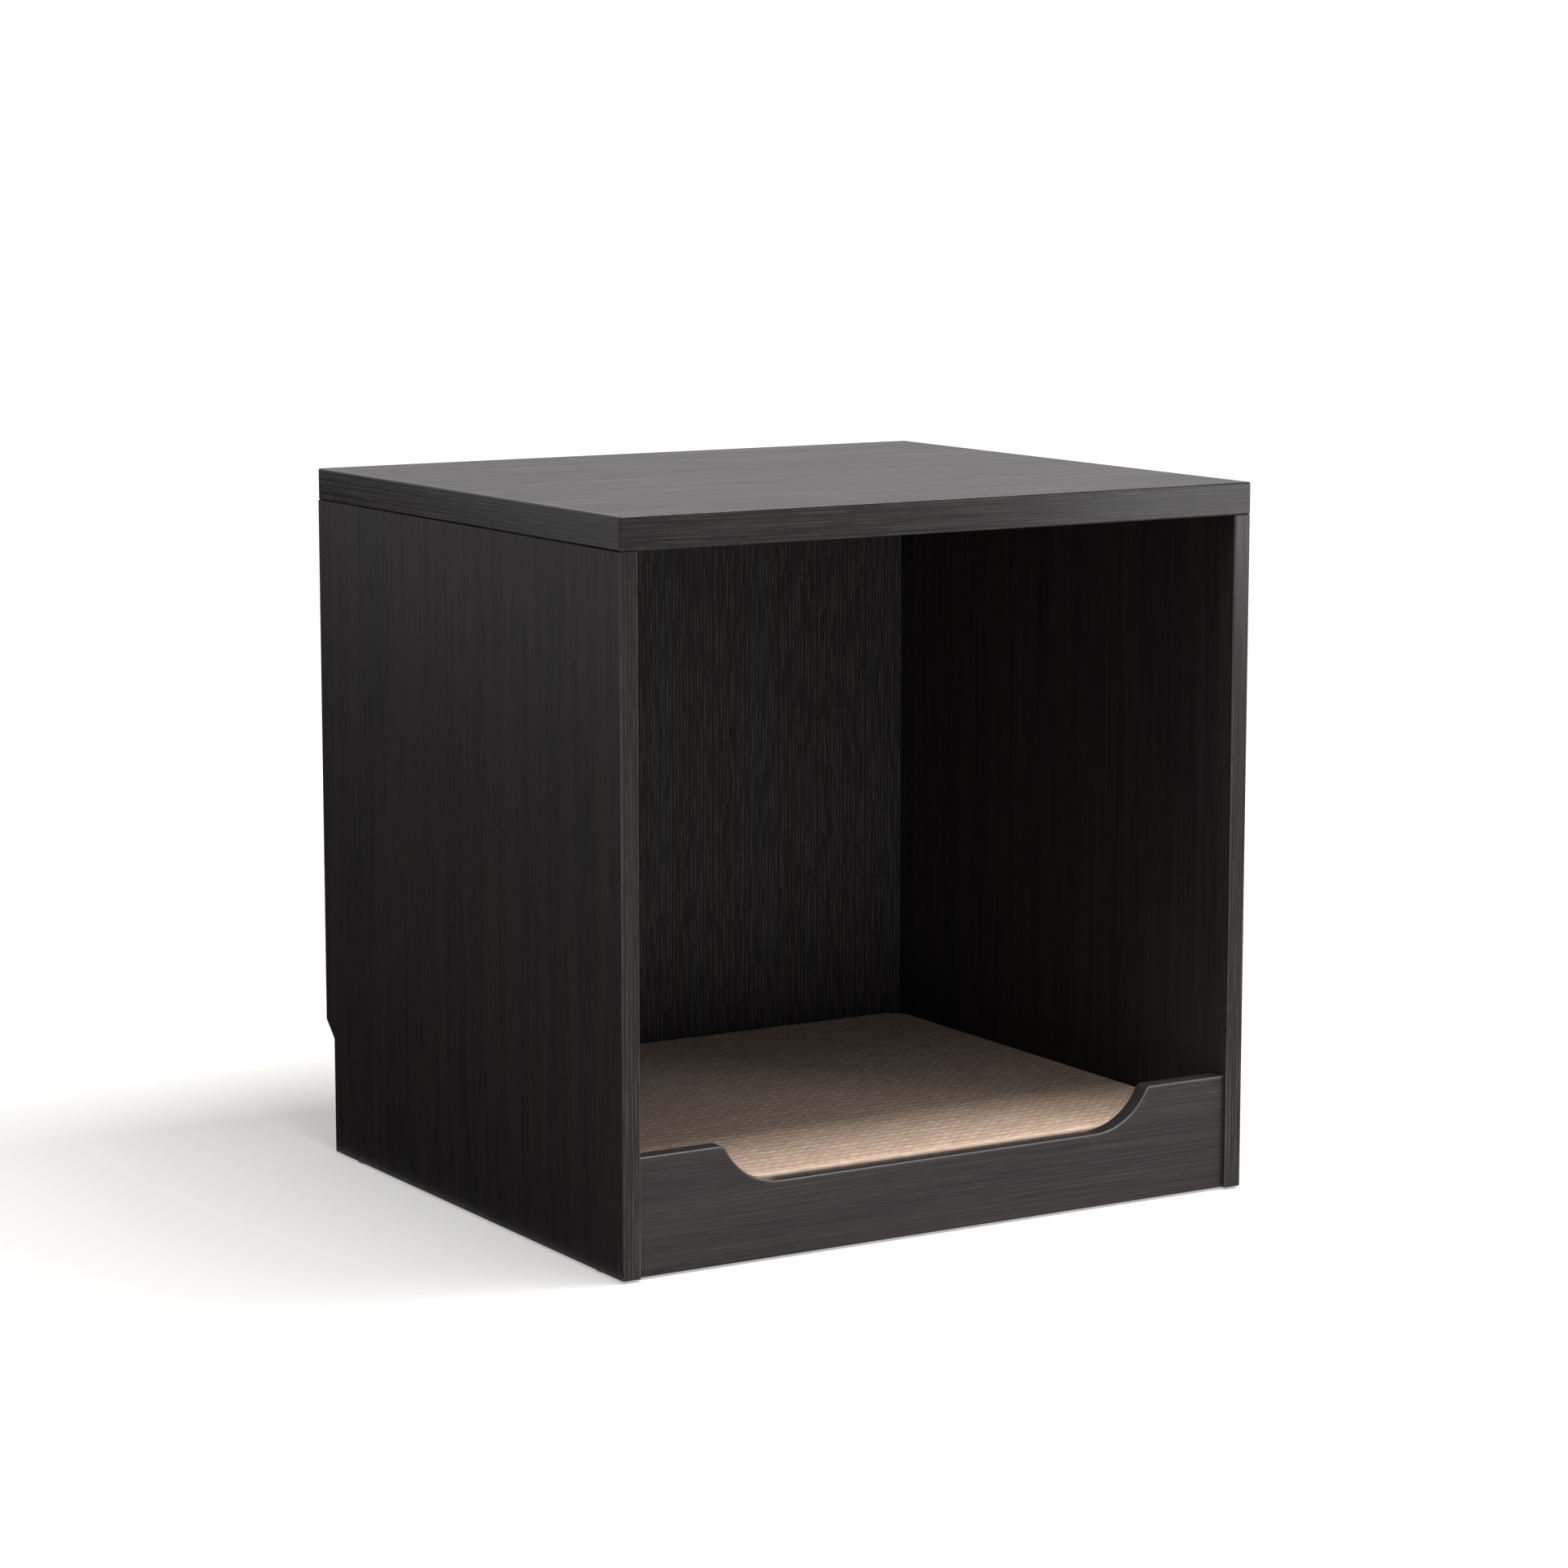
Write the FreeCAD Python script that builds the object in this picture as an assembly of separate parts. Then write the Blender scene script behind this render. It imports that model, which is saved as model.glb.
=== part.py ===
import FreeCAD, Part
import math
import os
from collections import namedtuple
from FreeCAD import Vector

# Open-fronted pet end table in dark woodgrain board: a thick top on two sides, a thin back
# held in grooves, a raised floor, a front sill with a scooped dip, and a loose woven mat.
# Cam locks and glued dowels hold every board joint.
# Millimetres. X runs to the right, Y to the back and Z up. The origin is on the ground,
# under the middle of the table.

# Outside of the table
overall_width = 550.0
overall_depth = 484.0
overall_height = 550.0

# Boards, and the edging strips glued to the edges that show
board = 15.0
top_board = 25.0
back_board = 3.0
edging = 2.0
arris_radius = 1.5
arris_limit_share = 0.9

# Notch that lets the sides stand close to a wall with a skirting board
notch_depth = 14.0
notch_height = 92.0

# Front sill, and the dip in its top edge
sill_height = 88.0
sill_recess = 4.0
sill_shoulder = 68.0
dip_depth = 31.5
dip_corner_radius = 53.0
dip_shoulder_radius = 6.0

# Mat: it lies a little higher than the bottom of the dip, and the floor board is under it
mat_rise = 3.5
mat_thickness = 8.0
mat_gap = 1.5
mat_corner_radius = 14.0
mat_edge_radius = 3.0
mat_edge_limit_share = 0.45

# Back panel in its grooves, with the board that is left between groove and notch
notch_wall = 2.5
groove_depth = 6.0
groove_clearance = 0.1
groove_end_gap = 0.5

# Glides under the sides, each on a nail
glide_height = 2.0
glide_diameter = 13.0
glide_rounding_share = 0.4
glide_inset = 40.0
nail_seat_share = 0.6
nail_diameter = 1.8
nail_length = 14.0

# Cam locks and their caps
cam_diameter = 14.8
cam_floor = 0.7
cam_reach = 34.0
cam_inset = 60.0
cam_slot_angle = 200.0
cam_entry_angle = 150.0
driver_slot_length = 9.0
driver_slot_width = 1.6
driver_slot_depth = 1.8
cap_thickness = 1.2
sill_cam_spread = 80.0

# Bolts that the cams pull on
bolt_thread_diameter = 6.0
bolt_collar_diameter = 7.5
bolt_collar_length = 1.2
bolt_shank_diameter = 6.0
bolt_neck_diameter = 4.0
bolt_neck_lead = 2.0
bolt_head_diameter = 7.0
bolt_head_length = 3.0

# Dowels, one pitch from a cam, and the board left behind every blind hole in a face
dowel_diameter = 8.0
dowel_length = 30.0
dowel_chamfer = 1.0
dowel_pitch = 32.0
face_cover = 4.0

# Screws through the back panel into the floor's rear edge
screw_diameter = 3.0
screw_length = 16.0
screw_head_diameter = 6.5
screw_head_height = 2.0
screw_rounding_share = 0.5
screw_slot_width = 0.8
screw_slot_depth = 1.0
screw_slot_share = 0.5
screw_inset = 60.0

# Clearances, and how far a cutter runs past the face that it opens
fit_clearance = 0.05
running_clearance = 0.3
hole_end_gap = 0.5
overrun = 3.0
same_place = 1.0e-4

# Places worked out from the sizes above
half_width = overall_width / 2
inner_half = half_width - board
side_middle_x = half_width - board / 2
front_y = -overall_depth / 2
rear_y = overall_depth / 2
sill_front_y = front_y + sill_recess
sill_rear_y = sill_front_y + board
sill_middle_y = sill_front_y + board / 2
notch_y = rear_y - notch_depth
back_rear_y = notch_y - notch_wall
back_front_y = back_rear_y - back_board
board_bottom_z = glide_height
top_under_z = overall_height - top_board
sill_top_z = board_bottom_z + sill_height
mat_top_z = sill_top_z - dip_depth + mat_rise
floor_top_z = mat_top_z - mat_thickness
floor_under_z = floor_top_z - board
floor_middle_z = floor_top_z - board / 2
sill_cam_z = (board_bottom_z + floor_under_z) / 2

# Fits worked out from the sizes above
arris = min(arris_radius, edging * arris_limit_share)
nail_seat = glide_height * nail_seat_share
neck_gap = bolt_neck_diameter + running_clearance * 2
head_gap = bolt_head_diameter + running_clearance * 2
cam_pocket = math.hypot(bolt_head_diameter, bolt_head_length) + running_clearance * 2
cam_below_axis = head_gap / 2 + cam_floor
cam_top = board / 2 - cap_thickness
bolt_bore = bolt_collar_diameter + running_clearance * 2
thread_length = board - face_cover - hole_end_gap
dowel_in_face = board - face_cover - hole_end_gap

X = Vector(1, 0, 0)
Y = Vector(0, 1, 0)
Z = Vector(0, 0, 1)
side_names = {-1: "left", 1: "right"}
arc_shares = (0, 0.5, 1)

# A cam joint stands at a point where two boards meet. The bolt is screwed into the face board
# and runs along into the edge board, where the cam is let in from the cam_side face.
CamJoint = namedtuple("CamJoint", "group face_board edge_board point along cam_side")
# A dowel joint: the dowel runs along from the face board into the edge board.
DowelJoint = namedtuple("DowelJoint", "group face_board edge_board point along")


def block(low, high):
    """Box between two opposite corners."""
    size = Vector(*high) - Vector(*low)
    return Part.makeBox(size.x, size.y, size.z, Vector(*low))


def rod(diameter, start, length, along):
    """Cylinder from a point."""
    return Part.makeCylinder(diameter / 2, length, start, along)


def hole(diameter, start, length, along):
    """Cutter for a rod of the same diameter, wider by the fit."""
    return rod(diameter + fit_clearance * 2, start, length, along)


def same(a, b):
    return abs(a - b) < same_place


def placed(shape, origin, x_axis, z_axis):
    """Copy of a shape moved from its own axes to the given ones."""
    axes = (x_axis, z_axis.cross(x_axis), z_axis, origin)
    rows = [axis[i] for i in range(3) for axis in axes]
    moved = shape.copy()
    moved.Placement = FreeCAD.Placement(FreeCAD.Matrix(*rows, 0, 0, 0, 1))
    return moved


def list_cam_joints():
    joints = []
    for side, name in side_names.items():
        side_board = f"side_panel_{name}"
        inward = X * -side
        for y in (front_y + cam_inset, back_front_y - cam_inset):
            point = Vector(side * side_middle_x, y, top_under_z)
            joints.append(CamJoint("top", "top_panel", side_board, point, -Z, inward))
        for y in (sill_rear_y + cam_inset, back_front_y - cam_inset):
            point = Vector(side * inner_half, y, floor_middle_z)
            joints.append(CamJoint("floor", side_board, "floor_panel", point, inward, -Z))
        point = Vector(side * inner_half, sill_middle_y, sill_cam_z)
        joints.append(CamJoint("sill", side_board, "front_sill", point, inward, Y))
        point = Vector(side * sill_cam_spread, sill_rear_y, floor_middle_z)
        joints.append(CamJoint("sill", "front_sill", "floor_panel", point, Y, -Z))
    return joints


def list_dowel_joints():
    joints = []
    inset = cam_inset + dowel_pitch
    for side, name in side_names.items():
        side_board = f"side_panel_{name}"
        inward = X * -side
        for y in (front_y + inset, back_front_y - inset):
            point = Vector(side * side_middle_x, y, top_under_z)
            joints.append(DowelJoint("top", "top_panel", side_board, point, -Z))
        for y in (sill_rear_y + inset, back_front_y - inset):
            point = Vector(side * inner_half, y, floor_middle_z)
            joints.append(DowelJoint("floor", side_board, "floor_panel", point, inward))
        point = Vector(side * inner_half, sill_middle_y, sill_cam_z + dowel_pitch)
        joints.append(DowelJoint("sill", side_board, "front_sill", point, inward))
    spread = sill_cam_spread + dowel_pitch
    for x in (-spread, 0, spread):
        point = Vector(x, sill_rear_y, floor_middle_z)
        joints.append(DowelJoint("sill", "front_sill", "floor_panel", point, Y))
    return joints


cam_joints = list_cam_joints()
dowel_joints = list_dowel_joints()


def at_cam(shape, joint):
    """From the cam's own axes, X to the bolt's thread and Z out of the board, to the joint."""
    return placed(shape, joint.point + joint.along * cam_reach, -joint.along, joint.cam_side)


def at_dowel(shape, joint):
    """From the dowel's own axes, X into the edge board, to the joint."""
    across = X if same(joint.along.x, 0) else Y
    return placed(shape, joint.point, joint.along, across)


def cam_lock():
    """Die-cast cam: a drum with a pocket for the bolt's head and a slot for its neck to turn in."""
    drum = rod(cam_diameter, Z * -cam_below_axis, cam_below_axis + cam_top, Z)
    pocket = rod(cam_pocket, Z * (-head_gap / 2), head_gap, Z)
    slot = Part.makeCylinder(cam_diameter, neck_gap, Z * (-neck_gap / 2), Z, cam_slot_angle)
    slot.rotate(Vector(), Z, -math.degrees(math.asin(neck_gap / cam_pocket)))
    entry = rod(head_gap, Vector(), cam_diameter, X)
    entry.rotate(Vector(), Z, cam_entry_angle)
    driver = block((-driver_slot_length / 2, -driver_slot_width / 2, cam_top - driver_slot_depth),
                   (driver_slot_length / 2, driver_slot_width / 2, cam_top + overrun))
    cross = driver.copy()
    cross.rotate(Vector(), Z, 90)
    return drum.cut([pocket, slot, entry, driver, cross])


def cam_bolt():
    """Turned steel bolt: head and neck in the cam, shank and collar in the bore, thread in the face."""
    shank_start = cam_diameter / 2 + bolt_neck_lead
    collar_start = cam_reach - bolt_collar_length
    head = rod(bolt_head_diameter, X * (-bolt_head_length / 2), bolt_head_length, X)
    neck = rod(bolt_neck_diameter, Vector(), shank_start, X)
    shank = rod(bolt_shank_diameter, X * shank_start, collar_start - shank_start, X)
    collar = rod(bolt_collar_diameter, X * collar_start, bolt_collar_length, X)
    thread = rod(bolt_thread_diameter, X * cam_reach, thread_length, X)
    return head.fuse([neck, shank, collar, thread]).removeSplitter()


def cam_cap():
    """Thin cover cap, flush with the board's face."""
    return rod(cam_diameter, Z * cam_top, cap_thickness, Z)


def dowel():
    """Beech dowel with chamfered ends."""
    start = -dowel_in_face
    end = start + dowel_length
    tip = (dowel_diameter / 2 - dowel_chamfer, dowel_diameter / 2, dowel_chamfer)
    body = rod(dowel_diameter, X * (start + dowel_chamfer), dowel_length - dowel_chamfer * 2, X)
    ends = [Part.makeCone(*tip, X * start, X), Part.makeCone(*tip, X * end, -X)]
    return body.fuse(ends).removeSplitter()


def cam_housing():
    """Cutter in the edge board: the cam's blind hole, and the bolt's bore to the board's edge."""
    depth = cam_below_axis + hole_end_gap
    drum = hole(cam_diameter, Z * -depth, depth + board / 2 + overrun, Z)
    return drum.fuse(rod(bolt_bore, Vector(), cam_reach + overrun, X))


def joint_holes(board_name):
    """Every cam and dowel hole that one board carries."""
    holes = []
    for joint in cam_joints:
        if joint.edge_board == board_name:
            holes.append(at_cam(cam_housing(), joint))
        if joint.face_board == board_name:
            start = cam_reach - overrun
            length = overrun + thread_length + hole_end_gap
            holes.append(at_cam(hole(bolt_thread_diameter, X * start, length, X), joint))
    for joint in dowel_joints:
        if board_name in (joint.edge_board, joint.face_board):
            start = -dowel_in_face - hole_end_gap
            length = dowel_length + hole_end_gap * 2
            holes.append(at_dowel(hole(dowel_diameter, X * start, length, X), joint))
    return holes


def top_pieces():
    """Top panel and the four strips of edging round it, cut from one board with rounded arrises."""
    low = Vector(-half_width, front_y, top_under_z)
    high = Vector(half_width, rear_y, overall_height)
    whole = block(low, high)
    whole = whole.makeFillet(arris, whole.Edges)
    core_low = low + (X + Y) * edging
    core_high = high - (X + Y) * edging
    groove_half = inner_half + groove_depth
    groove = block((-groove_half, back_front_y - groove_clearance, top_under_z - overrun),
                   (groove_half, back_rear_y + groove_clearance, top_under_z + groove_depth))
    strips = {
        "front": block(low, (high.x, core_low.y, high.z)),
        "rear": block((low.x, core_high.y, low.z), high),
        "left": block((low.x, core_low.y, low.z), (core_low.x, core_high.y, high.z)),
        "right": block((core_high.x, core_low.y, low.z), (high.x, core_high.y, high.z)),
    }
    pieces = {f"top_edging_{name}": whole.common(strip) for name, strip in strips.items()}
    pieces["top_panel"] = block(core_low, core_high).cut([groove] + joint_holes("top_panel"))
    return pieces


def side_panel(side):
    """Side board with the skirting notch, the back panel's groove, and holes for glide nails."""
    core_front_y = front_y + edging
    notch_top_z = board_bottom_z + notch_height
    outline = [
        (core_front_y, board_bottom_z), (notch_y, board_bottom_z), (notch_y, notch_top_z),
        (rear_y, notch_top_z + notch_depth), (rear_y, top_under_z), (core_front_y, top_under_z),
    ]
    points = [Vector(side * half_width, y, z) for y, z in outline]
    panel = Part.Face(Part.makePolygon(points + points[:1])).extrude(X * (-side * board))
    groove_x = sorted((side * (inner_half - overrun), side * (inner_half + groove_depth)))
    groove = block((groove_x[0], back_front_y - groove_clearance, board_bottom_z - overrun),
                   (groove_x[1], back_rear_y + groove_clearance, top_under_z + overrun))
    nail_depth = overrun + nail_length - nail_seat + hole_end_gap
    nail_holes = [hole(nail_diameter, place - Z * overrun, nail_depth, Z) for place in glide_places(side)]
    return panel.cut([groove] + nail_holes + joint_holes(f"side_panel_{side_names[side]}"))


def side_edging(side):
    """Strip on a side's front edge, its two upright arrises rounded."""
    x = sorted((side * inner_half, side * half_width))
    strip = block((x[0], front_y, board_bottom_z), (x[1], front_y + edging, top_under_z))
    arrises = [edge for edge in strip.Edges
               if all(same(v.Y, front_y) for v in edge.Vertexes)
               and not same(edge.Vertexes[0].Z, edge.Vertexes[1].Z)]
    return strip.makeFillet(arris, arrises)


def sill_outline(drop):
    """Face of the sill, seen from the front, with its top edge lowered by drop square to itself.

    Each end of the dip is two arcs that meet on a slope: a wide corner up from the dip's level
    bottom, and a small shoulder over to the sill's level top.
    """
    shoulder_z = sill_top_z - drop
    dip_z = shoulder_z - dip_depth
    corner = dip_corner_radius + drop
    shoulder = dip_shoulder_radius - drop
    turn = math.acos(1 - dip_depth / (corner + shoulder))
    crest_x = inner_half - sill_shoulder
    flat_x = crest_x - (corner + shoulder) * math.sin(turn)

    def at(x, z):
        return Vector(x, sill_front_y, z)

    def on_corner(side, angle):
        rise = corner * (1 - math.cos(angle))
        return at(side * (flat_x + corner * math.sin(angle)), dip_z + rise)

    def on_shoulder(side, angle):
        fall = shoulder * (1 - math.cos(angle))
        return at(side * (crest_x - shoulder * math.sin(angle)), shoulder_z - fall)

    edges = [Part.makeLine(at(-flat_x, dip_z), at(flat_x, dip_z)),
             Part.makeLine(at(-inner_half, board_bottom_z), at(inner_half, board_bottom_z))]
    for side in side_names:
        end = at(side * inner_half, shoulder_z)
        for curve in (on_corner, on_shoulder):
            edges.append(Part.Arc(*(curve(side, turn * share) for share in arc_shares)).toShape())
        edges.append(Part.makeLine(at(side * crest_x, shoulder_z), end))
        edges.append(Part.makeLine(end, at(side * inner_half, board_bottom_z)))
    return Part.Face(Part.Wire(Part.__sortEdges__(edges)))


def sill_pieces():
    """Front sill, and the strip of edging that follows its scooped top edge."""
    whole = sill_outline(0).extrude(Y * board)
    core = sill_outline(edging).extrude(Y * board)
    arrises = [edge for edge in whole.Edges
               if all(v.Z > board_bottom_z + same_place for v in edge.Vertexes)
               and same(edge.Vertexes[0].Y, edge.Vertexes[-1].Y)]
    return {
        "front_sill": core.cut(joint_holes("front_sill")),
        "sill_edging": whole.makeFillet(arris, arrises).cut(core),
    }


def floor_panel():
    """Board under the mat, butted to the sill, the sides and the back panel."""
    panel = block((-inner_half, sill_rear_y, floor_under_z), (inner_half, back_front_y, floor_top_z))
    depth = screw_length - back_board + hole_end_gap
    pilots = [hole(screw_diameter, place - Y * depth, depth + overrun, Y) for place in screw_places()]
    return panel.cut(pilots + joint_holes("floor_panel"))


def back_panel():
    """Thin back, held in the grooves of the sides and the top and screwed to the floor."""
    half = inner_half + groove_depth - groove_end_gap
    top_z = top_under_z + groove_depth - groove_end_gap
    panel = block((-half, back_front_y, floor_under_z), (half, back_rear_y, top_z))
    length = back_board + overrun * 2
    return panel.cut([hole(screw_diameter, place - Y * overrun, length, Y) for place in screw_places()])


def screw_places():
    """Where the back panel's screws cross the floor's rear edge."""
    spread = inner_half - screw_inset
    return [Vector(x, back_front_y, floor_middle_z) for x in (-spread, 0, spread)]


def back_screw(place):
    """Pan-head screw with a cross recess, driven from behind."""
    seat = place + Y * back_board
    crown_y = seat.y + screw_head_height
    shank = rod(screw_diameter, seat - Y * screw_length, screw_length, Y)
    head = rod(screw_head_diameter, seat, screw_head_height, Y)
    rim = [edge for edge in head.Edges if all(same(v.Y, crown_y) for v in edge.Vertexes)]
    head = head.makeFillet(screw_head_height * screw_rounding_share, rim)
    reach = screw_head_diameter * screw_slot_share / 2
    half_slots = ((reach, screw_slot_width / 2), (screw_slot_width / 2, reach))
    slots = [block((seat.x - half_x, crown_y - screw_slot_depth, seat.z - half_z),
                   (seat.x + half_x, crown_y + overrun, seat.z + half_z))
             for half_x, half_z in half_slots]
    return head.fuse(shank).removeSplitter().cut(slots)


def glide_places(side):
    """Where the glides stand, on the lower edge of one side."""
    places = (front_y + glide_inset, notch_y - glide_inset)
    return [Vector(side * side_middle_x, y, board_bottom_z) for y in places]


def glide(place):
    """Plastic disc under a side, rounded where it slides, with a seat for its nail."""
    disc = rod(glide_diameter, place - Z * glide_height, glide_height, Z)
    rim = [edge for edge in disc.Edges if all(same(v.Z, place.z - glide_height) for v in edge.Vertexes)]
    disc = disc.makeFillet(glide_height * glide_rounding_share, rim)
    return disc.cut(hole(nail_diameter, place - Z * nail_seat, nail_seat + overrun, Z))


def glide_nail(place):
    return rod(nail_diameter, place - Z * nail_seat, nail_length, Z)


def den_mat():
    """Loose woven mat that fills the den's floor, with rounded corners and edges."""
    half = inner_half - mat_gap
    mat = block((-half, sill_rear_y + mat_gap, floor_top_z), (half, back_front_y - mat_gap, mat_top_z))
    corners = [edge for edge in mat.Edges if not same(edge.Vertexes[0].Z, edge.Vertexes[1].Z)]
    mat = mat.makeFillet(mat_corner_radius, corners)
    rims = [edge for edge in mat.Edges if same(edge.Vertexes[0].Z, edge.Vertexes[-1].Z)]
    return mat.makeFillet(min(mat_edge_radius, mat_thickness * mat_edge_limit_share), rims)


def fittings():
    """Cams, bolts and dowels in one group for each kind of joint, and the other small pieces."""
    groups = {}
    for joint in cam_joints:
        groups.setdefault(f"cam_locks_{joint.group}", []).append(at_cam(cam_lock(), joint))
        groups.setdefault(f"cam_bolts_{joint.group}", []).append(at_cam(cam_bolt(), joint))
        if joint.group == "top":
            groups.setdefault("cam_caps", []).append(at_cam(cam_cap(), joint))
    for joint in dowel_joints:
        groups.setdefault(f"dowels_{joint.group}", []).append(at_dowel(dowel(), joint))
    places = [place for side in side_names for place in glide_places(side)]
    groups["floor_glides"] = [glide(place) for place in places]
    groups["glide_nails"] = [glide_nail(place) for place in places]
    groups["back_screws"] = [back_screw(place) for place in screw_places()]
    return {name: Part.makeCompound(solids) for name, solids in groups.items()}


def build():
    pieces = {**top_pieces(), **sill_pieces(), **fittings()}
    pieces["floor_panel"] = floor_panel()
    pieces["back_panel"] = back_panel()
    pieces["den_mat"] = den_mat()
    for side, name in side_names.items():
        pieces[f"side_panel_{name}"] = side_panel(side)
        pieces[f"side_edging_{name}"] = side_edging(side)
    return pieces


def main():
    os.makedirs("parts", exist_ok=True)
    for name, shape in sorted(build().items()):
        shape.exportStep(f"parts/{name}.step")
        print(name, len(shape.Solids), "solids", round(shape.Volume, 1), "mm3", "valid", shape.isValid())


main()
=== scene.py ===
"""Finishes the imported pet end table: woodgrain boards, edging, back, fittings, woven mat and stage."""

import math

import bpy
import numpy as np
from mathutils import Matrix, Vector


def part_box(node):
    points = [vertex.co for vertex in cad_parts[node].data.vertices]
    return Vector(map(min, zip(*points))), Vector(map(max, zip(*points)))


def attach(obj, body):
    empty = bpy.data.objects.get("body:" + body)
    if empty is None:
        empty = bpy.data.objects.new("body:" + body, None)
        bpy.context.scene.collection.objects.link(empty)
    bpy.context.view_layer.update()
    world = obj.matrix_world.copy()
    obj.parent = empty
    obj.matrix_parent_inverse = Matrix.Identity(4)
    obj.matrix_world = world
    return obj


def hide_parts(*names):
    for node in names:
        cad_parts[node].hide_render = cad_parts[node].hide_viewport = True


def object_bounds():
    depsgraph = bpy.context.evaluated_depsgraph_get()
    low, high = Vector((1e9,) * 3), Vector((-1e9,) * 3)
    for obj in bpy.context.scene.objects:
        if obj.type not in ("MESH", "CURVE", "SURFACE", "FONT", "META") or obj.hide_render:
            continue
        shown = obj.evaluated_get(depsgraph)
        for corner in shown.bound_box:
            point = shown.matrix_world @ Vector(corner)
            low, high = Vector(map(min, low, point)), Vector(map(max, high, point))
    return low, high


bl_info = {
    "name": "Pet End Table Finish",
    "version": (1, 0, 0),
    "blender": (4, 5, 0),
    "location": "3D View > Sidebar > Pet table",
    "description": "Gives the packed pet end table its boards, edging, fittings, woven mat and stage",
    "category": "Object",
}

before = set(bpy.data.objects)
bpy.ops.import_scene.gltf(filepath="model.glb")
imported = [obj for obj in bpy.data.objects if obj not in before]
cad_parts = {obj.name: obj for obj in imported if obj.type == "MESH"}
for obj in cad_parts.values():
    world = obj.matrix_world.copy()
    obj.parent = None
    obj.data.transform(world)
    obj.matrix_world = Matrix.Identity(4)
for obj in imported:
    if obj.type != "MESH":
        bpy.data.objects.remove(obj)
cad_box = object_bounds()

MM = 0.001
MAT_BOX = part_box("den_mat")
WHITE = (1.0, 1.0, 1.0, 1.0)

# Boards, with the axes that run along and across their grain
BOARDS = {
    "top_panel": "XY",
    "side_panel_left": "ZY",
    "side_panel_right": "ZY",
    "floor_panel": "XY",
    "front_sill": "XZ",
}
# Edging strips, with besides the axis that the outer face turns to, the ground tone among the board's
# values, how pale the trimmed corners are painted (a paler trim and a painted highlight), and how clear
# the grain is
EDGINGS = {
    "top_edging_front": ("XZ", "Y", "strip", 0.0, 1.0),
    "top_edging_rear": ("XZ", "Y", "strip", 0.0, 1.0),
    "top_edging_left": ("YZ", "X", "strip", 0.0, 1.0),
    "top_edging_right": ("YZ", "X", "strip", 0.0, 1.0),
    "side_edging_left": ("ZX", "Y", "strip", 0.18, 1.0),
    "side_edging_right": ("ZX", "Y", "strip", 0.18, 1.0),
    # The sill's strip has a greyer ground as painted sheen for the light its curved top catches, and a
    # pale arris as painted highlight
    "sill_edging": ("XY", "Y", "sill_strip_sheen", 0.5, 0.0),
}

# Sides of the table that show bare stock, by the way their faces turn
SIDES = {
    "rear": (0.0, 1.0, 0.0),
    "down": (0.0, 0.0, -1.0),
}
BARE_SIDES = {
    "side_panel_left": ("rear", "down"),
    "side_panel_right": ("rear", "down"),
    "floor_panel": ("rear",),
    "front_sill": ("down",),
    "back_panel": ("rear",),
}
# A face shows bare stock where the cosine of its turn to a bare side is over this
BARE_TURN = 0.5
CHIPBOARD_ROUGHNESS = 0.9
HARDBOARD_ROUGHNESS = 0.8
# What the fibre clumps add to the clouds of hardboard, and the press screen to both
CLUMP_SHARE = 0.8
SCREEN_SHARE = 0.06
MOTTLE_RANGE = (0.2, 0.7)

# Steps in the noise from one node to the next, so that no two boards are alike
SEED_STEPS = (7.31, 3.17, 5.73)
NOISE_MIDDLE = (0.5, 0.5, 0.5)
# Values of the noise between which bands, streaks and pore dashes go from none to full
BAND_RANGE = (0.35, 0.65)
STREAK_RANGE = (0.44, 0.74)
DASH_RANGE = (0.32, 0.66)
# Shares of the pore pitch: where a line of pores may lie, and how far from it a stroke is full and gone
LINE_SHARES = (0.3, 0.7)
STROKE_SHARES = (0.06, 0.24)
# Dash lengths by which two lines of pores may start apart
DASH_STARTS = 97.0
PORE_BUMP = 0.6
# Cosines of a strip's turn to its outer face between which its pale corner, a paler trim with a painted
# highlight, comes and goes
ARRIS_HIGHLIGHT_TURNS = ((0.1, 0.4), (0.85, 0.98))


def linear(hex_colour):
    """An sRGB hex colour as linear RGBA."""
    parts = [int(hex_colour[i:i + 2], 16) / 255 for i in (1, 3, 5)]
    return [p / 12.92 if p <= 0.04045 else ((p + 0.055) / 1.055) ** 2.4 for p in parts] + [1.0]


def colour_value(name, description, hex_colour):
    """A colour that a user may change, with its default from a hex value."""
    return bpy.props.FloatVectorProperty(
        name=name, description=description, subtype="COLOR", size=4, min=0.0, max=1.0,
        default=linear(hex_colour))


def length_value(name, description, millimetres):
    """A length that a user may change, kept in metres."""
    return bpy.props.FloatProperty(
        name=name, description=description, subtype="DISTANCE", unit="LENGTH", min=0.0,
        precision=5, default=millimetres * MM)


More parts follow.
